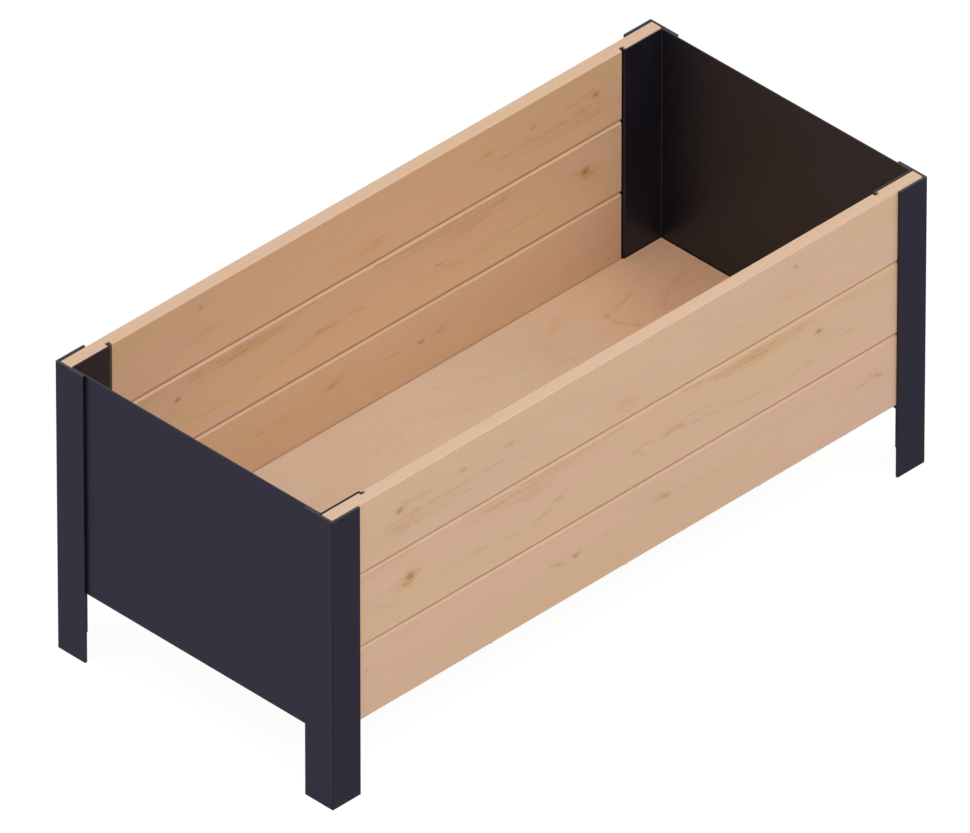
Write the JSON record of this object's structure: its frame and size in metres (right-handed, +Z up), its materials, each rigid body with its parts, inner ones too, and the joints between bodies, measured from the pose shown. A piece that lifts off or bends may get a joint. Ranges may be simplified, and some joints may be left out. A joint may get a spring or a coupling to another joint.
{
  "type": "planter box",
  "caption": "Long raised planter box: tongue-and-groove wood sides hooked into sheet-steel ends between angle-steel legs, with a plywood floor held off the ground.",
  "frame": {"origin": "on the ground, under the middle of the box", "axes": "+X along the length of the box, towards its right end; +Y towards its back long side; +Z up"},
  "size_m": [0.86, 0.4, 0.36],
  "materials": {
    "powder_coated_steel": "smooth satin powder coat, blue-black",
    "planed_board": "planed softwood, clear matt",
    "plywood": "sanded rotary-cut veneer",
    "zinc_plated_steel": "bright zinc plate"
  },
  "bodies": {
    "root": {"leg_front_left": "powder_coated_steel", "leg_front_right": "powder_coated_steel", "leg_back_left": "powder_coated_steel", "leg_back_right": "powder_coated_steel", "left_end_panel": "powder_coated_steel", "right_end_panel": "powder_coated_steel", "left_cross_bar": "powder_coated_steel", "right_cross_bar": "powder_coated_steel", "floor_strap_1": "powder_coated_steel", "floor_strap_2": "powder_coated_steel", "floor_strap_3": "powder_coated_steel", "front_board_bottom": "planed_board", "front_board_middle": "planed_board", "front_board_top": "planed_board", "back_board_bottom": "planed_board", "back_board_middle": "planed_board", "back_board_top": "planed_board", "floor_panel": "plywood", "strap_screw_front_1": "zinc_plated_steel", "strap_screw_back_1": "zinc_plated_steel", "strap_screw_front_2": "zinc_plated_steel", "strap_screw_back_2": "zinc_plated_steel", "strap_screw_front_3": "zinc_plated_steel", "strap_screw_back_3": "zinc_plated_steel"}
  },
  "joints": []
}
